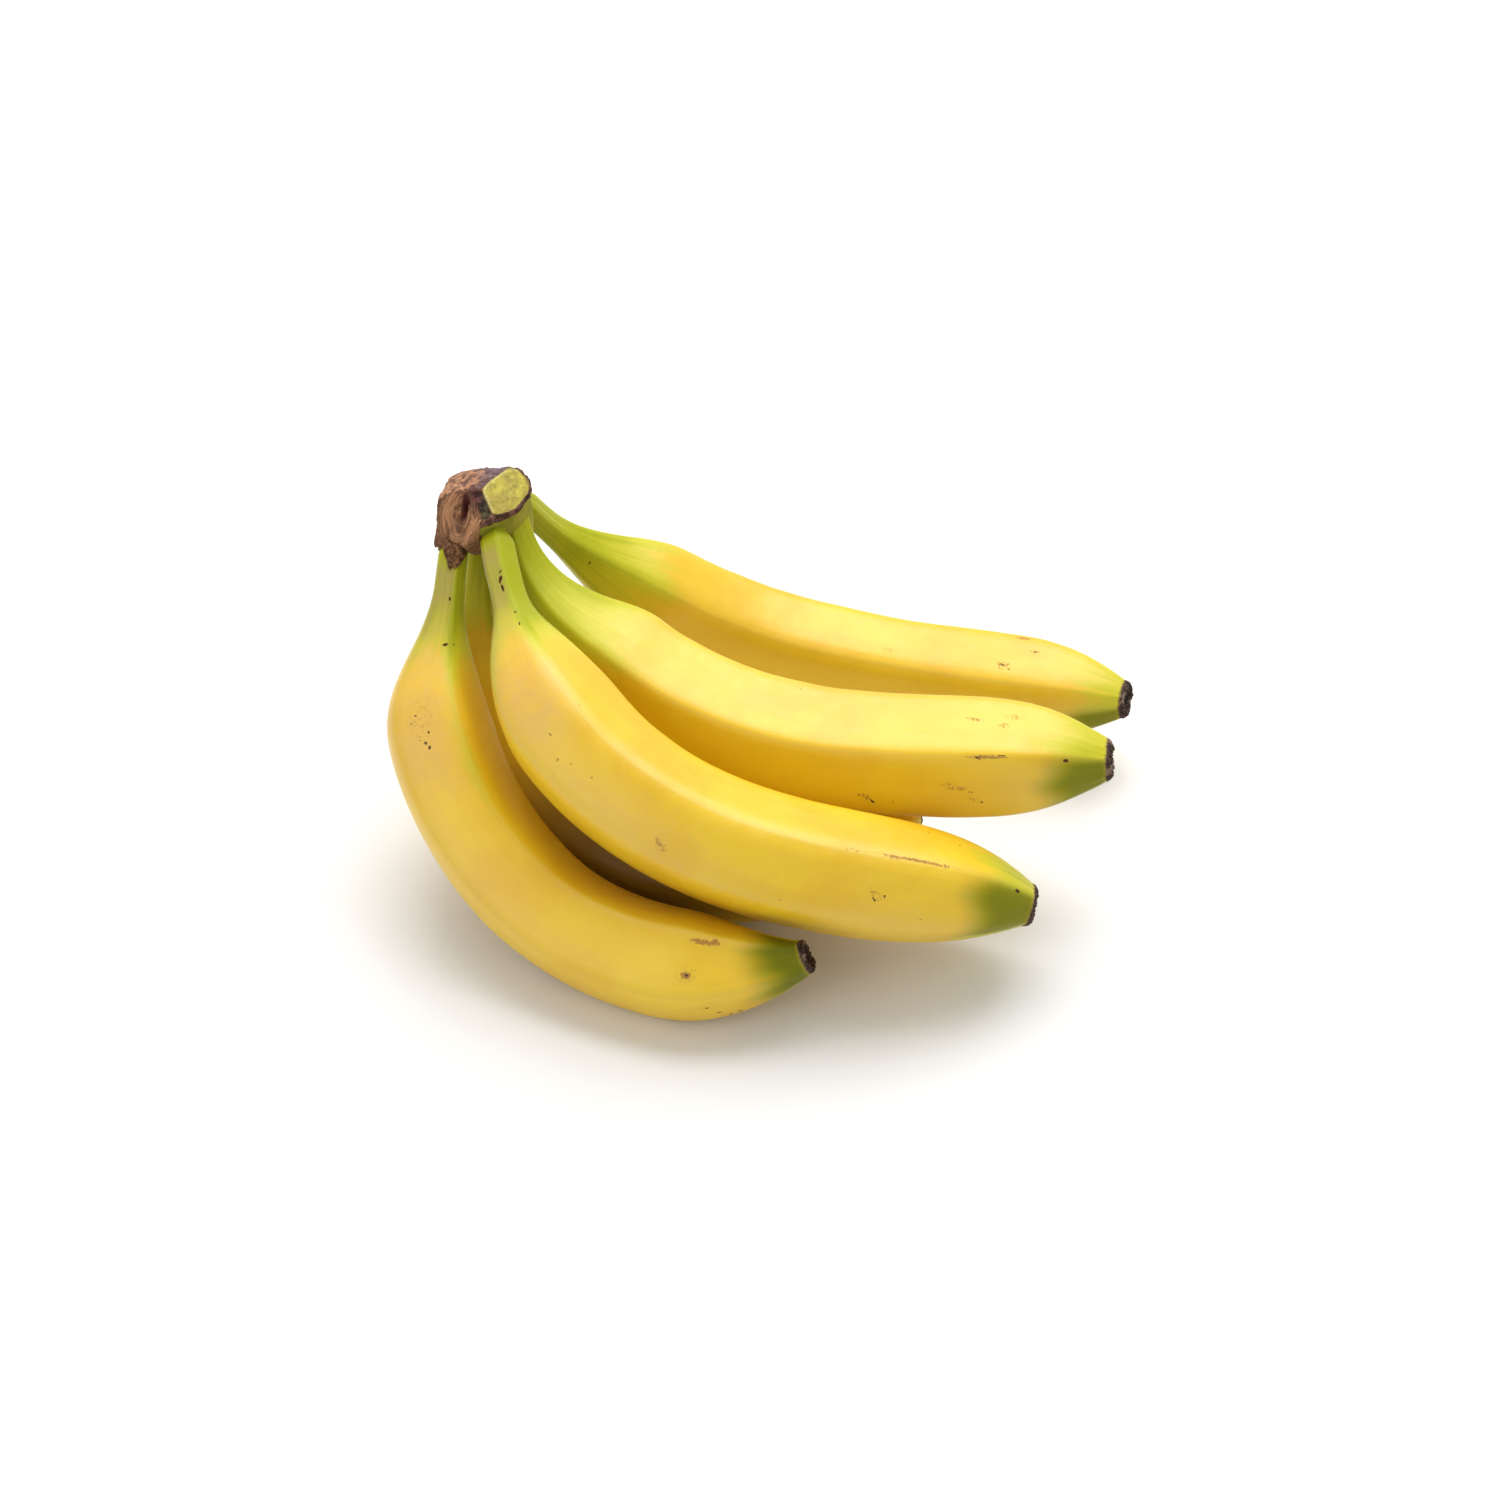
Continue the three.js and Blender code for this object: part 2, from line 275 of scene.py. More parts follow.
def closed_mesh(name, points, first, last):
    """Rows and columns of points, joined in squares, with the columns joined round; the
    first and last rows each close in a fan of triangles on a pole."""
    rows, columns, _ = points.shape
    corner = np.arange(rows * columns).reshape(rows, columns)
    after = np.roll(corner, -1, axis=1)
    squares = np.stack([corner[:-1], after[:-1], after[1:], corner[1:]], -1).reshape(-1, 4)
    start, end = rows * columns, rows * columns + 1
    fans = np.concatenate([
        np.stack([np.full(columns, start), after[0], corner[0]], -1),
        np.stack([np.full(columns, end), corner[-1], after[-1]], -1)])
    places = np.concatenate([points.reshape(-1, 3), [first, last]]) / 1000
    mesh = bpy.data.meshes.new(name)
    mesh.vertices.add(len(places))
    mesh.vertices.foreach_set("co", places.ravel())
    loops = np.r_[squares.ravel(), fans.ravel()]
    sizes = np.r_[np.full(len(squares), 4), np.full(len(fans), 3)]
    mesh.loops.add(len(loops))
    mesh.loops.foreach_set("vertex_index", loops)
    mesh.polygons.add(len(sizes))
    mesh.polygons.foreach_set("loop_start", np.r_[0, np.cumsum(sizes)[:-1]])
    mesh.polygons.foreach_set("loop_total", sizes)
    mesh.update(calc_edges=True)
    mesh.validate()
    mesh.shade_smooth()
    piece = bpy.data.objects.new(name, mesh)
    bpy.context.scene.collection.objects.link(piece)
    return piece


def store(piece, name, values, poles):
    """Keeps one number per point on the mesh, with the two poles' numbers last."""
    layer = piece.data.attributes.new(name, "FLOAT", "POINT")
    layer.data.foreach_set("value", np.r_[values.ravel(), poles])


def store_places(piece, name, places, poles):
    """Keeps one place per point on the mesh, in metres, with the two poles' places last."""
    layer = piece.data.attributes.new(name, "FLOAT_VECTOR", "POINT")
    layer.data.foreach_set("vector", np.concatenate([places.reshape(-1, 3), poles]).ravel() / 1000)


# Marks on the peel: station in mm, angle, length along and width across in mm, turn in
# degrees, and strength. Specks are dark dots and scratches; scuffs are rubbed, corky skin.
SPECKS = {
    "banana_front": [
        (22.7, 240, 1.4, 0.9, 0, 0.9), (37.2, 238, 1.9, 1, 80, 1), (37.2, 221, 1.2, 0.8, 0, 0.8),
        (34.4, 194, 1.1, 0.7, 0, 0.7), (58.7, 272, 1.2, 1, 0, 0.7), (60.8, 277, 0.9, 0.8, 0, 0.6),
        (64.2, 260, 1.4, 1, 20, 0.8), (67.3, 266, 1.5, 1.2, 0, 0.9), (68.8, 263, 1.6, 1.1, 40, 0.9),
        (64.2, 290, 1.3, 1, 0, 0.6), (66, 271, 1, 0.9, 0, 0.7), (71.6, 267, 1, 0.8, 0, 0.6),
        (180.9, 276, 1.3, 1.0, 30, 0.8), (183.6, 271, 1, 0.9, 0, 0.6), (178.4, 282, 1, 0.8, 0, 0.5),
        (185.5, 323, 1.8, 0.9, 10, 0.8), (187.9, 342, 1.6, 0.9, 20, 0.9),
        (190.1, 358, 1.8, 1, 20, 0.9), (192.9, 356, 1.7, 0.9, 20, 0.8),
        (119.5, 256, 1, 0.8, 0, 0.4), (138.8, 291, 1.1, 0.9, 0, 0.4)],
    "banana_middle": [
        (24.4, 292, 2.6, 0.8, 14, 1), (27.2, 290, 2.8, 0.9, -6, 1), (21.8, 285, 1.8, 0.7, 40, 0.8),
        (23.9, 287, 2, 1.2, 30, 0.8), (37.2, 277, 1.2, 0.9, 60, 0.8), (42.5, 278, 1.8, 0.8, 0, 0.8),
        (44.1, 276, 1, 0.8, 0, 0.6), (79, 304, 1.2, 1, 0, 0.7), (85.3, 314, 1.6, 1.2, 0, 0.7),
        (88.6, 308, 1.5, 1, 0, 0.7), (94.9, 304, 1.4, 1.1, 0, 0.7), (77.3, 268, 1.4, 0.8, 0, 0.6),
        (57.1, 266, 1.2, 0.8, 0, 0.4), (179.9, 309, 1.8, 1, 50, 0.8), (182.9, 305, 1.5, 1, 0, 0.7),
        (154.3, 325, 1.6, 1.1, 0, 0.6), (142, 345, 1.6, 1.1, 0, 0.6), (194.8, 322, 1.5, 1, 0, 0.6),
        (206.1, 224, 1.4, 1, 0, 0.7), (224.7, 274, 1.8, 1.4, 0, 0.9),
        (110.2, 244, 1.1, 0.9, 0, 0.3), (130.1, 303, 1, 0.9, 0, 0.4),
        (183.5, 269, 3.0, 0.6, 0, 0.8), (189, 270, 2.4, 0.6, 2, 0.7), (194, 269, 3.4, 0.6, 0, 0.8),
        (199.5, 269, 3.0, 0.7, 0, 0.7)],
    "banana_upper": [
        (188.5, 295, 1.6, 1, 0, 0.7), (191.8, 307, 1.8, 1.2, 0, 0.6),
        (217.1, 260, 1.7, 1.2, 0, 0.9), (154.6, 304, 1.8, 1, 40, 0.7),
        (158.6, 310, 1.8, 1.1, 40, 0.8), (179.3, 289, 1.3, 0.9, 0, 0.5),
        (54.6, 203, 1.1, 0.8, 0, 0.4), (144.1, 223, 1, 0.9, 0, 0.4), (112.5, 219, 1, 0.8, 0, 0.3),
        (190.8, 257, 2.6, 0.8, 0, 0.9), (194.6, 257, 1.8, 0.7, 0, 0.8),
        (198.2, 256, 3.4, 0.6, 0, 0.8)],
    "banana_back": [
        (202.3, 178, 2, 1.4, 30, 0.8), (204.7, 182, 1.6, 1.2, 0, 0.7), (200.9, 175, 1.2, 1, 0, 0.6),
        (211.4, 150, 1.5, 1.1, 0, 0.6), (160.9, 182, 1.4, 1, 0, 0.6), (86.2, 159, 1.3, 1, 0, 0.5),
        (37.5, 220, 2.2, 1.2, 50, 0.6), (125.5, 167, 1, 0.9, 0, 0.4),
        (218.3, 198, 1.1, 0.9, 0, 0.4)],
    "banana_under": [
        (50.6, 247, 1.2, 1, 0, 0.5), (96.7, 299, 1.3, 1, 0, 0.5)],
}
SCUFFS = {
    "banana_front": [
        (180.9, 276, 6.5, 5, 0, 0.35), (180.9, 276, 3.6, 3.0, 0, 0.9),
        (184.6, 237, 8.5, 1.7, 0, 0.9), (188.9, 235, 3, 2.2, 0, 0.7), (59.9, 266, 16, 12, 0, 0.22),
        (189.5, 357, 8, 2.4, 30, 0.35)],
    "banana_middle": [
        (190.5, 269, 24, 1.1, 1, 0.9), (200.1, 269, 5, 1.6, 0, 0.6), (183.9, 270, 5, 1.8, 0, 0.5),
        (119.5, 318, 4, 2.6, 30, 0.55), (180.5, 306, 6, 3, 40, 0.35), (171.6, 270, 8, 1.2, 0, 0.4)],
    "banana_upper": [
        (194.1, 257, 12.5, 1.0, 0, 0.9), (191.8, 258, 3.4, 1.5, 0, 0.6),
        (189.2, 210, 6.5, 2, 10, 0.45), (201.4, 202, 6, 2.4, -15, 0.45),
        (198.1, 217, 4, 2.6, 0, 0.45), (183.3, 289, 9, 3, 10, 0.4), (156.6, 306, 4.5, 2.5, 30, 0.5),
        (189.8, 304, 5, 3, 0, 0.3)],
    "banana_back": [
        (206.1, 131, 6.5, 1.3, 0, 0.8), (202.7, 178, 5.5, 3.6, 0, 0.5),
        (211.4, 150, 4, 1.6, 0, 0.45), (160.9, 182, 5, 2.4, 0, 0.35), (86.2, 159, 3.5, 2, 0, 0.3)],
    "banana_under": [
        (52.5, 249, 6, 3, 0, 0.4)],
}


def marks_field(sheet, marks):
    """The strongest of several oval cones: strength times one less the distance from the
    mark's middle, with distances along and across counted in half lengths and half widths."""
    field = np.zeros(sheet["station"].shape)
    for station, angle, length, width, turn, strength in marks:
        along = sheet["station"] - station
        across = np.radians(round_trip(sheet["angle"], angle)) * sheet["radius"]
        c, s = math.cos(math.radians(turn)), math.sin(math.radians(turn))
        oval = np.hypot((along * c + across * s) / (length / 2), (across * c - along * s) / (width / 2))
        field = np.maximum(field, strength * np.clip(1.45 - oval, 0, 1))
    return field


def shader(tree, kind, sockets=None, **settings):
    """Adds one node. A socket is given another node's output to be linked, or a value."""
    made = tree.nodes.new(kind)
    for name, value in settings.items():
        setattr(made, name, value)
    for name, value in (sockets or {}).items():
        if isinstance(value, bpy.types.NodeSocket):
            tree.links.new(value, made.inputs[name])
        else:
            made.inputs[name].default_value = value
    return made


def kept(tree, name):
    """A number stored on the mesh."""
    return shader(tree, "ShaderNodeAttribute", attribute_name=name).outputs["Fac"]


def sum_of(tree, operation, first, second=0.0, clamp=False):
    """One sum of two numbers."""
    return shader(tree, "ShaderNodeMath", {0: first, 1: second}, operation=operation,
                  use_clamp=clamp).outputs[0]


def between(tree, value, low, high, bottom=0.0, top=1.0):
    """Goes softly from bottom to top while the value goes from low to high."""
    return shader(tree, "ShaderNodeMapRange", {0: value, 1: low, 2: high, 3: bottom, 4: top},
                  interpolation_type="SMOOTHSTEP").outputs[0]


def grain(tree, where, scale, detail=2.0, stretch=(1, 1, 1), roughness=0.5):
    """Soft noise at so many lumps a metre, stretched along an axis that is scaled down."""
    place = shader(tree, "ShaderNodeMapping", {"Vector": where, "Scale": stretch}).outputs[0]
    return shader(tree, "ShaderNodeTexNoise", {"Vector": place, "Scale": scale, "Detail": detail,
                                               "Roughness": roughness}).outputs[0]


def colour(code):
    """A colour code as the linear red, green, blue and alpha that a shader takes."""
    parts = np.array([int(code[k:k + 2], 16) for k in (0, 2, 4)]) / 255
    return (*np.where(parts <= 0.04045, parts / 12.92, ((parts + 0.055) / 1.055)**2.4), 1.0)


def over(tree, amount, under, upper):
    """Lays one colour over another by an amount from 0 to 1."""
    made = shader(tree, "ShaderNodeMix", data_type="RGBA")
    for name, value in ((0, amount), (6, under), (7, upper)):
        if isinstance(value, bpy.types.NodeSocket):
            tree.links.new(value, made.inputs[name])
        else:
            made.inputs[name].default_value = value
    return made.outputs[2]


def peel_material(name, ripe, deep, flank, gleam):
    """Ripe peel: a yellow with soft cloudy change between ripe and deep and long faint
    streaks, a flank colour painted over it as light and shade, green towards the neck and the
    blossom end, a rosy ochre where the skin was sunned, brown specks and corky scuffs, and a
    dark dried scar with a pale margin. It is waxy, with fine pores, and it gleams less where it
    is green."""
    material = bpy.data.materials.new(name)
    material.use_nodes = True
    tree = material.node_tree
    tree.nodes.clear()
    solid = shader(tree, "ShaderNodeTexCoord").outputs["Object"]
    peel = shader(tree, "ShaderNodeAttribute", attribute_name="laid_flat").outputs["Vector"]
    broad = grain(tree, solid, 38, 3)
    mottle = grain(tree, solid, 190, 4, roughness=0.6)
    fine = grain(tree, solid, 1100, 3, roughness=0.65)
    streak = grain(tree, peel, 330, 4, (1, 1, 0.035), 0.6)
    hair = grain(tree, peel, 1300, 2, (1, 1, 0.03), 0.5)

    paint = over(tree, between(tree, broad, 0.35, 0.68), colour(ripe), colour(deep))
    paint = over(tree, between(tree, streak, 0.45, 0.8, 0, 0.22), paint, colour("cf9f22"))
    paint = over(tree, between(tree, mottle, 0.52, 0.78, 0, 0.14), paint, colour("eed05c"))
    ridge = sum_of(tree, "MULTIPLY", kept(tree, "ridge"), between(tree, streak, 0.3, 0.7, 0.05, 0.3))
    paint = over(tree, ridge, paint, colour("c3ad2a"))
    blush = sum_of(tree, "MULTIPLY", kept(tree, "blush"), between(tree, mottle, 0.3, 0.65, 0.55, 1.0))
    paint = over(tree, blush, paint, colour("d9ac55"))
    # Painted light and shade: the flank colour lays a brighter yellow on shaded flanks of the ripe
    # peel, and a dark brown painted shadow on the peel of the finger in the gap.
    paint = over(tree, kept(tree, "flank"), paint, colour(flank))
    wander = sum_of(tree, "ADD", between(tree, streak, 0.25, 0.75, -0.13, 0.13),
                    between(tree, broad, 0.3, 0.7, -0.10, 0.10))
    green = sum_of(tree, "ADD", kept(tree, "green"), wander)
    paint = over(tree, between(tree, green, 0.12, 0.62), paint, colour("c6be2a"))
    paint = over(tree, between(tree, green, 0.55, 1.05), paint, colour("9fa31a"))
    tan = sum_of(tree, "MULTIPLY", kept(tree, "tan"), between(tree, mottle, 0.3, 0.7, 0.6, 1.0))
    paint = over(tree, tan, paint, colour("a9925a"))
    paint = over(tree, kept(tree, "deep_green"), paint, colour("66690a"))

    dot = shader(tree, "ShaderNodeTexVoronoi", {"Vector": solid, "Scale": 105.0})
    chosen = shader(tree, "ShaderNodeSeparateColor", {0: dot.outputs["Color"]}).outputs[0]
    pinpoint = sum_of(tree, "MULTIPLY", between(tree, dot.outputs["Distance"], 0.034, 0.052, 1, 0),
                      between(tree, chosen, 0.80, 0.86, 0, 0.55))
    paint = over(tree, pinpoint, paint, colour("8c5f22"))

    frayed = between(tree, fine, 0.25, 0.75, -0.38, 0.38)
    scuff = between(tree, sum_of(tree, "ADD", kept(tree, "scuff"), frayed), 0.22, 0.72, 0, 0.85)
    scuff = sum_of(tree, "MULTIPLY", scuff, between(tree, kept(tree, "scuff"), 0.0, 0.25))
    paint = over(tree, scuff, paint, colour("a06f2e"))
    speck = sum_of(tree, "ADD", kept(tree, "speck"), sum_of(tree, "MULTIPLY", frayed, 0.55))
    speck = sum_of(tree, "MULTIPLY", between(tree, speck, 0.40, 0.66),
                   between(tree, kept(tree, "speck"), 0.05, 0.3))
    paint = over(tree, speck, paint, colour("4c2a12"))

    edge = sum_of(tree, "ADD", kept(tree, "scar"), sum_of(tree, "MULTIPLY", frayed, 0.25))
    paint = over(tree, between(tree, edge, 0.14, 0.36, 0, 0.75), paint, colour("a08a4c"))
    crumb = over(tree, between(tree, fine, 0.42, 0.62), colour("2a1d16"), colour("5d4638"))
    crumb = over(tree, between(tree, mottle, 0.56, 0.68), crumb, colour("8a7360"))
    crumb = over(tree, kept(tree, "cup"), crumb, colour("150d09"))
    paint = over(tree, between(tree, edge, 0.34, 0.52), paint, crumb)
    skin = over(tree, between(tree, fine, 0.38, 0.66), colour("4a2f20"), colour("87603f"))
    paint = over(tree, kept(tree, "bark"), paint, skin)

    dry = sum_of(tree, "MAXIMUM", between(tree, edge, 0.2, 0.4), kept(tree, "bark"))
    dull = sum_of(tree, "MAXIMUM", dry, sum_of(tree, "MAXIMUM", scuff, speck))
    gloss = between(tree, mottle, 0.3, 0.7, 0.36, 0.45)
    rough = shader(tree, "ShaderNodeMix", {0: dull, 2: gloss, 3: 0.82}, data_type="FLOAT").outputs[0]

    leafy = sum_of(tree, "MAXIMUM", green, sum_of(tree, "MULTIPLY", kept(tree, "deep_green"), 1.2))
    shine = between(tree, leafy, 0.10, 0.90, gleam, 0.12)

    pores = sum_of(tree, "ADD", sum_of(tree, "MULTIPLY", fine, 0.5),
                   sum_of(tree, "ADD", sum_of(tree, "MULTIPLY", hair, 0.35),
                          sum_of(tree, "MULTIPLY", mottle, 0.8)))
    pores = sum_of(tree, "SUBTRACT", pores, sum_of(tree, "MULTIPLY", speck, 0.4))
    bump = shader(tree, "ShaderNodeBump", {"Height": pores, "Strength": 0.22, "Distance": 0.0004})
    rugged = shader(tree, "ShaderNodeBump", {
        "Height": sum_of(tree, "MULTIPLY", fine, dry), "Strength": 0.9, "Distance": 0.0007,
        "Normal": bump.outputs[0]})
    surface = shader(tree, "ShaderNodeBsdfPrincipled", {
        "Base Color": paint, "Roughness": rough, "Normal": rugged.outputs[0],
        "Subsurface Weight": 0.10, "Subsurface Radius": (0.8, 0.6, 0.15),
        "Subsurface Scale": 0.003, "IOR": 1.5, "Specular IOR Level": shine})
    shader(tree, "ShaderNodeOutputMaterial", {"Surface": surface.outputs[0]})
    return material


# Painted light and shade. The ripe peel's flank colour f6d41a is a brighter yellow painted as light on
# the shaded lower flanks. The second peel is for the finger that lies in the shadow between the front
# and middle fingers: its ripe and deep yellows are painted brighter to stand in for the light it lacks,
# and its flank colour 64400f is a painted shadow.
peel = peel_material("ripe_peel", "e6c01f", "dfb319", "f6d41a", 0.62)
peel_painted_for_shade = peel_material("peel_painted_for_shade", "efc41d", "e2b21a", "64400f", 0.20)

BLUSH = {   # station, angle, length, width and strength of the sunned places
    "banana_front": [(62, 267, 60, 34, .75), (110, 296, 90, 26, .35)],
    "banana_middle": [(66, 302, 46, 30, .9), (110, 322, 90, 22, .45), (185, 329, 60, 18, .35)],
    "banana_upper": [(190, 304, 50, 20, .3)],
    "banana_back": [],
    "banana_under": [],
}

# Painted light and shade: on the upper and back fingers a brighter yellow is painted on the shaded
# lower flank, and on the lowest finger a dark brown is painted as the shadow it lies in between the
# front and middle fingers.
PAINTED_FLANK_LIGHT_AND_SHADE = {   # the same for light and shade painted on a flank
    "banana_front": [],
    "banana_middle": [],
    "banana_upper": [(92, 300, 190, 34, .8)],
    "banana_back": [(115, 266, 240, 38, .85)],
    "banana_under": [(135, 285, 130, 70, .85)],
}


def patches(sheet, table):
    """The strongest of several soft ovals, each strength times a fall from 1 in the middle to
    0 a little outside the oval, counted in half lengths and half widths."""
    field = np.zeros(sheet["station"].shape)
    for at, turn, long, wide, strength in table:
        across = np.radians(round_trip(sheet["angle"], turn)) * sheet["radius"]
        oval = np.hypot((sheet["station"] - at) / (long / 2), across / (wide / 2))
        field = np.maximum(field, strength * ease(1.15 - oval))
    return field


HEM_HEIGHT = 7.8         # how far the crown's dried skin reaches down the front neck
HEM_LIFT = 0.55          # how far that skin stands off the neck
TONGUE_SIDE = 250        # the angle of the tip of its pointed tongue
TONGUE_LENGTH = 6.6      # how far the tip reaches past the hem
TONGUE_WIDE = (78, 42)   # how far round the tongue reaches on its two sides

for name, finger in FINGERS.items():
    points, first, last, sheet = finger_surface(finger)
    station, angle, length = sheet["station"], sheet["angle"], sheet["length"]

    # The crown's dried skin runs down over the front neck in a pointed tongue.
    if name == "banana_front":
        off_tip = round_trip(angle, TONGUE_SIDE)
        reach = np.where(off_tip < 0, *TONGUE_WIDE)
        tongue = TONGUE_LENGTH * np.clip(1 - np.abs(off_tip) / reach, 0, 1)
        hem = HEM_HEIGHT + tongue + 0.9 * cloud(sheet["flat"] * (1, 1, 0), 3.5, 5)
    else:
        hem = np.full(station.shape, -5.0)
    bark = ease((hem - station) / 0.7)
    centre = points.mean(axis=1, keepdims=True)
    outward = points - centre
    outward /= np.maximum(1e-6, np.linalg.norm(outward, axis=-1, keepdims=True))
    crust = HEM_LIFT + 0.30 * cloud(sheet["flat"], 1.3, 7)
    points = points + outward * (bark * crust)[..., None]

    # Green fades from the neck and from the end in a ragged fringe, and from the neck it runs
    # on a little along the ridges.
    fringe = 2.0 * cloud(sheet["flat"] * (1, 1, 0.1), 7, finger["seed"] + 20)
    along_ridge = np.max([np.exp(-(round_trip(angle, r) / 11)**2) for r in finger["ridges"]], axis=0)
    fade = finger["green_fade"]
    neck_green = ease((finger["green_neck"] + fade / 2 + 3 * fringe + 9 * along_ridge - station)
                      / (fade + 8 * along_ridge))
    end_green = ease((station - (length - finger["green_end"] - 7) + 3 * fringe) / 28)
    green = np.maximum(neck_green * 0.95, end_green * 0.64)
    # It runs on down one ridge of the front finger, and down one side of the middle one.
    if name == "banana_front":
        stripe = np.exp(-(round_trip(angle, 228) / 17)**2)
        green = green + 0.34 * stripe * ease((120 - station) / 45)
    if name == "banana_middle":
        green = green + 0.4 * ease((84 - station) / 60) \
            * ease((66 - 0.3 * station - np.abs(round_trip(angle, 234))) / 22)
    shady = ease((finger["dark_wide"] + 12 - np.abs(round_trip(angle, finger["dark_side"]))) / 24)
    nearing = ease((station - (length - finger["green_end"] - 2) + 2 * fringe) / 16)
    deep_green = finger["dark_depth"] * shady * nearing
    tan = finger["tan"] * neck_green * ease((station - 9) / 6) \
        * ease((52 - np.abs(round_trip(angle, finger["tan_side"]))) / 24)
    scar = ease((station - (length - SCAR_START - 1.1) + 0.35 * sheet["ragged"]) / 3.0)
    scar = np.maximum(scar, ease(sheet["in_cup"] * 20))

    piece = closed_mesh(name + "_peel", points, first, last)
    ends = [(0, 0, 0), (0, 0, length)]
    store_places(piece, "laid_flat", sheet["flat"], ends)
    store(piece, "green", green, [1, 0])
    store(piece, "deep_green", deep_green * (1 - scar), [0, 0])
    store(piece, "tan", tan, [0, 0])
    store(piece, "ridge", sheet["ridge_line"], [0, 0])
    store(piece, "blush", patches(sheet, BLUSH[name]), [0, 0])
    # flank: light and shade painted into the peel's colour, from the table above.
    store(piece, "flank", patches(sheet, PAINTED_FLANK_LIGHT_AND_SHADE[name]), [0, 0])
    store(piece, "speck", marks_field(sheet, SPECKS[name]), [0, 0])
    store(piece, "scuff", marks_field(sheet, SCUFFS[name]), [0, 0])
    store(piece, "scar", scar, [0, 1])
    cup = np.broadcast_to(ease(sheet["in_cup"] * 2.2 - 0.3), station.shape)
    store(piece, "cup", cup, [0, 0.6])
    store(piece, "bark", bark, [1, 0])
    piece.data.materials.append(peel_painted_for_shade if name == "banana_under" else peel)
    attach(piece, "root")
    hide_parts(name)


# ==================================================================== the crown
# The crown is the woody cushion that all the stalks grow out of, as wide as a thumb. A knife
# took it off the stem: the old cut has dried to brown fibres round a hollow, and a small
# fresh cut beside it is still green. Its skin is green below and dried to bark above.

# Places on the crown are in millimetres from its centre. Height is counted along a line that
# leans back 42 degrees from upright; across and up lie in the plane of the old cut.
CROWN_CENTRE = np.array([-83.5, 33.5, 104]) + GROWN_TO_TABLE
CROWN_SHARPNESS = 24                  # the higher, the crisper the edges between its faces
LEANING_UP = (0, 0.669, 0.743)
HOLLOW = (-1.6, 1.2)                  # across and up, where the rings of the old cut centre
CROWN_ROWS = 310
CROWN_COLUMNS = 310
CROWN_FACES = {                       # facing, and distance from the centre in mm
    "old cut": ((-0.358, -0.798, 0.484), 11.9),
    "rind": ((0.148, -0.746, 0.650), 12.8),
    "fresh cut": ((0.588, -0.452, 0.670), 11.8),
    "dried top": ((-0.174, 0.102, 0.979), 12.3),
    "left shoulder": ((-0.600, 0.294, 0.745), 12.3),
    "left flank": ((-0.995, 0.066, 0.074), 13.4),
    "top back": ((-0.030, 0.669, 0.743), 13.3),
    "right shoulder": ((0.720, 0.544, 0.425), 17.0),
    "right flank": ((0.980, 0.175, 0.045), 15.8),
    "back": ((0.150, 0.850, -0.500), 22.5),
    "under right": ((0.863, -0.471, -0.180), 10.8),
    "under first row": ((0.579, -0.759, -0.298), 8.8),
    "under old cut": ((0.000, -0.669, -0.743), 11.7),
}


def unit(v):
    """The vector cut or drawn out to a length of 1."""
    return np.asarray(v, float) / np.linalg.norm(v)


def crown_surface():
    """One reach for every direction from the centre. The pole is the middle of the old cut;
    a row is an angle off it and a column a turn round it. The reach is the power mean of the
    distances at which the direction meets each face, and relief is added to it."""
    pole = unit(CROWN_FACES["old cut"][0])
    side = unit(np.cross((0, 0, 1), pole))
    rise = np.cross(pole, side)
    tilt = np.linspace(0, np.pi, CROWN_ROWS + 2)[1:-1, None]
    turn = np.linspace(0, 2 * np.pi, CROWN_COLUMNS, endpoint=False)[None, :]
    way = (np.cos(tilt)[..., None] * pole + (np.sin(tilt) * np.cos(turn))[..., None] * side
           + (np.sin(tilt) * np.sin(turn))[..., None] * rise)
    shares = {}
    for name, (facing, distance) in CROWN_FACES.items():
        shares[name] = np.maximum(0, way @ unit(facing) / distance) ** CROWN_SHARPNESS
    total = sum(shares.values())
    reach = total ** (-1 / CROWN_SHARPNESS)
    shares = {name: share / total for name, share in shares.items()}
    flat = way * reach[..., None]
    return way, reach, shares, flat, flat @ side, flat @ rise


way, reach, share, flat, across, up = crown_surface()
# The fresh cut, the dark rim under it, the dried skin of the apron and the green skin below.
below_cut = CROWN_FACES["fresh cut"][1] - flat @ unit(CROWN_FACES["fresh cut"][0])
below_cut = below_cut + 0.35 * cloud(flat, 1.6, 81)
fresh = ease((share["fresh cut"] - 0.42) / 0.16)
skirt = share["under right"] + share["under first row"] + share["right flank"] \
    + share["right shoulder"]
rim_width = np.clip(3.9 - 0.13 * (flat[..., 0] - 3), 2.2, 3.9)
rim = ease((rim_width - below_cut) / 0.5) * ease((skirt - 0.3) / 0.2) * (1 - fresh)
rind = ease((share["rind"] - 0.35) / 0.3)
under = share["under first row"] + share["under old cut"] + share["under right"]
apron = ease((1.2 + 0.9 * cloud(flat, 2.4, 84) - flat[..., 0]) / 0.8) * ease((under - 0.2) / 0.3)
green_skin = ease((below_cut - rim_width + 0.5) / 0.7) * ease((skirt - 0.35) / 0.3) \
    * (1 - rim) * (1 - apron)
cut = np.maximum(ease((share["old cut"] - 0.30) / 0.4), 0.8 * apron)
lip = fresh * ease((share["rind"] + share["dried top"] - 0.16) / 0.2)
height = flat @ LEANING_UP
flap = np.exp(-((flat[..., 0] + 2.8) / 2.3)**2 - ((height + 11.5) / 3.0)**2)
# A soft band of dark red painted shade, running from front to back over the crown a little above its
# centre and crossing the old cut.
painted_shade_patch = np.exp(-((flat[..., 0] + 1.0) / 2.4)**2 - ((height - 3.8) / 3.0)**2)
top = share["dried top"] + share["left shoulder"] + share["top back"]

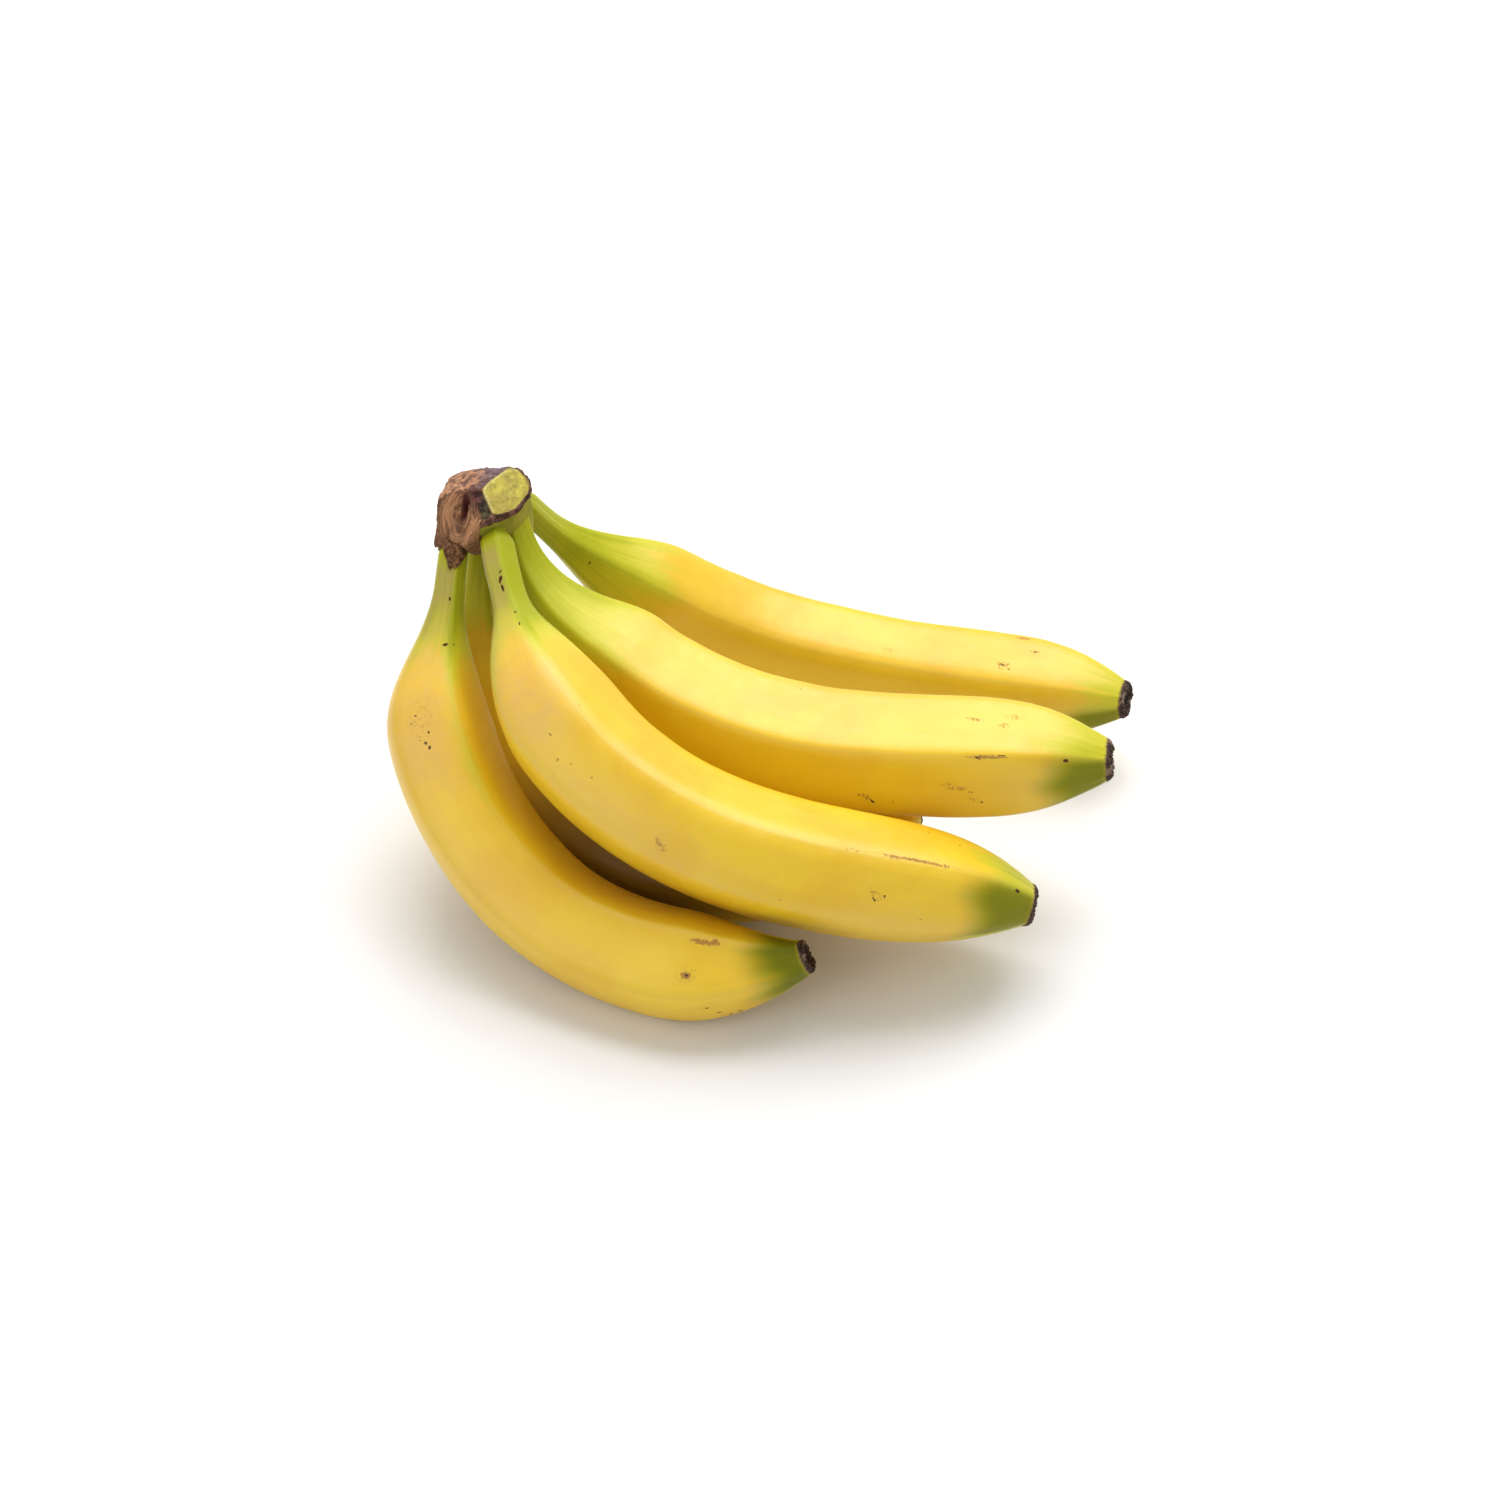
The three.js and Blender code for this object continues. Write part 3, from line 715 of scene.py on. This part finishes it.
# The old cut: uneven rings of fibre round the hollow, a slit in it, and three raised lobes.
wobble = 1.7 * cloud(flat, 5, 71) + 1.0 * cloud(flat, 2.2, 72)
loop = np.hypot((across - HOLLOW[0]) / 0.5, (up - HOLLOW[1]) / 1.15) + wobble
bearing = np.arctan2(up - HOLLOW[1], across - HOLLOW[0])
slit = np.exp(-((across + 1.5 + 0.5 * cloud(flat, 3, 79)) / 1.15)**2 - ((up - 2.4) / 4.6)**2)
strand_place = np.stack([loop, 3.2 * np.cos(bearing), 3.2 * np.sin(bearing)], axis=-1)
strand_place = strand_place * (1, 0.5, 0.5)
strand = cloud(strand_place, 1.0, 73) + 0.6 * cloud(strand_place, 0.5, 74)
lobes = (np.exp(-((across - 3.6) / 2.4)**2 - ((up + 4.5) / 4.5)**2)
         + 0.9 * np.exp(-((across + 6.2) / 2.2)**2 - ((up - 0.5) / 6.5)**2)
         + 0.7 * np.exp(-((across + 2.5) / 2.6)**2 - ((up + 8.5) / 2.6)**2))

# Relief in millimetres, added to the reach: each kind of surface has its own roughness.
crinkle = cloud(flat * (1, 1, 0.4), 1.7, 75) + 0.6 * cloud(flat, 0.7, 80)
dried = 1 - np.maximum(fresh, green_skin)
relief = (cut * (-3.6 * slit + 1.3 * lobes - 0.9 + 0.42 * strand)
          + dried * (1 - cut) * (0.42 * crinkle + 0.40 * cloud(flat, 4, 76))
          + fresh * (0.10 * cloud(flat, 1.4, 77) + 0.16 * cloud(flat, 4, 83))
          + 0.15 * cloud(flat, 3, 78) * green_skin + 0.45 * rim * (1 + 0.5 * cloud(flat, 1.2, 82))
          - 0.5 * rind + 2.2 * flap)
points = CROWN_CENTRE + way * (reach + relief)[..., None]
first = points[0].mean(axis=0)
last = points[-1].mean(axis=0)
crown = closed_mesh("crown_wood", points, first, last)
store(crown, "fresh", fresh, [0, 0])
store(crown, "rim", rim, [0, 0])
store(crown, "green_skin", green_skin, [0, 0])
store(crown, "rind", rind, [0, 0])
store(crown, "slit", slit * cut, [0.3, 0])
store(crown, "strand", np.clip(0.5 + 0.5 * strand + 0.5 * lobes, 0, 1) * cut, [0, 0])
store(crown, "top", top, [0, 0])
store(crown, "lip", lip, [0, 0])
store(crown, "painted_shade_patch", painted_shade_patch, [0, 0])
store(crown, "across", (flat[..., 0] + 14) / 28, [0.5, 0.5])


def crown_material():
    """Dried wood and skin, tan on the raised fibres and dark red brown in the slit, a band of
    dark red painted shade over the old cut, with a grey bloom on the top, a fresh green-yellow
    cut inside a dark rim, and green skin below."""
    material = bpy.data.materials.new("crown_wood")
    material.use_nodes = True
    tree = material.node_tree
    tree.nodes.clear()
    solid = shader(tree, "ShaderNodeTexCoord").outputs["Object"]
    fine = grain(tree, solid, 1500, 4, roughness=0.65)
    mottle = grain(tree, solid, 420, 4, roughness=0.6)
    broad = grain(tree, solid, 120, 3)
    wood = over(tree, between(tree, mottle, 0.35, 0.65), colour("5f3d2a"), colour("8d6444"))
    wood = over(tree, between(tree, kept(tree, "strand"), 0.35, 0.95), wood, colour("b5825a"))
    wood = over(tree, between(tree, fine, 0.52, 0.75, 0, 0.6), wood, colour("42281b"))
    side = sum_of(tree, "ADD", kept(tree, "across"), between(tree, broad, 0.3, 0.7, -0.14, 0.14))
    bloom = over(tree, between(tree, side, 0.36, 0.56), colour("b98560"), colour("766066"))
    bloom = over(tree, between(tree, mottle, 0.44, 0.60, 0, 0.85), bloom, colour("5d3f36"))
    bloom = over(tree, between(tree, fine, 0.50, 0.70, 0, 0.6), bloom, colour("40281f"))
    wood = over(tree, between(tree, kept(tree, "top"), 0.40, 0.60), wood, bloom)
    wood = over(tree, between(tree, kept(tree, "slit"), 0.06, 0.42), wood, colour("56231a"))
    bark = over(tree, between(tree, mottle, 0.42, 0.64), colour("2a2216"), colour("5e5038"))
    wood = over(tree, kept(tree, "rind"), wood, bark)
    # Painted shade: dark red laid over the wood in a band across the old cut.
    shadow_red = over(tree, between(tree, mottle, 0.42, 0.64), colour("35161a"), colour("6b3a38"))
    wood = over(tree, kept(tree, "painted_shade_patch"), wood, shadow_red)
    leafy = over(tree, between(tree, broad, 0.3, 0.7), colour("8d8c22"), colour("a6a02e"))
    paint = over(tree, kept(tree, "green_skin"), wood, leafy)
    flesh = over(tree, between(tree, broad, 0.38, 0.62), colour("cfc04a"), colour("b9a646"))
    flesh = over(tree, between(tree, mottle, 0.46, 0.66, 0, 0.7), flesh, colour("988d40"))
    flesh = over(tree, between(tree, fine, 0.66, 0.76, 0, 0.6), flesh, colour("6f5a30"))
    flesh = over(tree, sum_of(tree, "MULTIPLY", kept(tree, "lip"), 0.6), flesh, colour("dccd80"))
    paint = over(tree, kept(tree, "fresh"), paint, flesh)
    crust = over(tree, between(tree, mottle, 0.4, 0.65), colour("3a1f18"), colour("7a5145"))
    paint = over(tree, kept(tree, "rim"), paint, crust)
    bump = shader(tree, "ShaderNodeBump", {
        "Height": sum_of(tree, "ADD", fine, mottle), "Strength": 0.7, "Distance": 0.0006})
    surface = shader(tree, "ShaderNodeBsdfPrincipled", {
        "Base Color": paint, "Roughness": between(tree, kept(tree, "fresh"), 0, 1, 0.85, 0.5),
        "Normal": bump.outputs[0], "IOR": 1.45})
    shader(tree, "ShaderNodeOutputMaterial", {"Surface": surface.outputs[0]})
    return material


crown.data.materials.append(crown_material())
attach(crown, "root")
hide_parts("crown")


# =================================================================== the studio
# The bunch lies on a plain white table. A wide soft light hangs above and behind it, and a
# weaker one stands at the front left; the camera looks down at 42 degrees from the front.

TABLE_HALF = 6           # metres, from the middle to an edge
TABLE_CORNERS = [(x * TABLE_HALF, y * TABLE_HALF, 0) for x, y in ((-1, -1), (1, -1), (1, 1), (-1, 1))]
TABLE_WHITE = 0.82
floor_mesh = bpy.data.meshes.new("table_top")
floor_mesh.from_pydata(TABLE_CORNERS, [], [(0, 1, 2, 3)])
floor = bpy.data.objects.new("table_top", floor_mesh)
bpy.context.scene.collection.objects.link(floor)
floor_paint = bpy.data.materials.new("table_white")
floor_paint.use_nodes = True
floor_surface = floor_paint.node_tree.nodes["Principled BSDF"]
floor_surface.inputs["Base Color"].default_value = (TABLE_WHITE, TABLE_WHITE, TABLE_WHITE, 1)
floor_surface.inputs["Roughness"].default_value = 0.7
floor_mesh.materials.append(floor_paint)


def soft_light(name, place, target, size, watts):
    """A square panel of light turned to face its target."""
    lamp = bpy.data.lights.new(name, "AREA")
    lamp.size = size
    lamp.energy = watts
    holder = bpy.data.objects.new(name, lamp)
    holder.location = place
    aim = np.array(target) - np.array(place)
    tip = math.acos(-aim[2] / np.linalg.norm(aim))
    holder.rotation_euler = (tip, 0, math.atan2(-aim[0], aim[1]))
    bpy.context.scene.collection.objects.link(holder)


BUNCH_MIDDLE = (0, 0, 0.05)
soft_light("overhead_panel", (0.12, 0.62, 1.18), BUNCH_MIDDLE, size=1.25, watts=21.5)
soft_light("front_panel", (-0.9, -0.9, 0.7), BUNCH_MIDDLE, size=0.9, watts=3.6)

world = bpy.data.worlds.new("studio_air")
world.use_nodes = True
air = world.node_tree.nodes["Background"]
air.inputs["Color"].default_value = (1, 1, 1, 1)
air.inputs["Strength"].default_value = 0.60
bpy.context.scene.world = world
bpy.context.scene.view_settings.view_transform = "Standard"

CAMERA_AIM = np.array([-0.00666, 0.00422, 0.03331])
CAMERA_DISTANCE = 0.900
CAMERA_DOWN = math.radians(42)
lens = bpy.data.cameras.new("camera")
lens.sensor_width = 36
lens.lens = 67.5
camera = bpy.data.objects.new("camera", lens)
towards_camera = np.array([0, -math.cos(CAMERA_DOWN), math.sin(CAMERA_DOWN)])
camera.location = CAMERA_AIM + CAMERA_DISTANCE * towards_camera
camera.rotation_euler = (math.pi / 2 - CAMERA_DOWN, 0, 0)
bpy.context.scene.collection.objects.link(camera)
bpy.context.scene.camera = camera
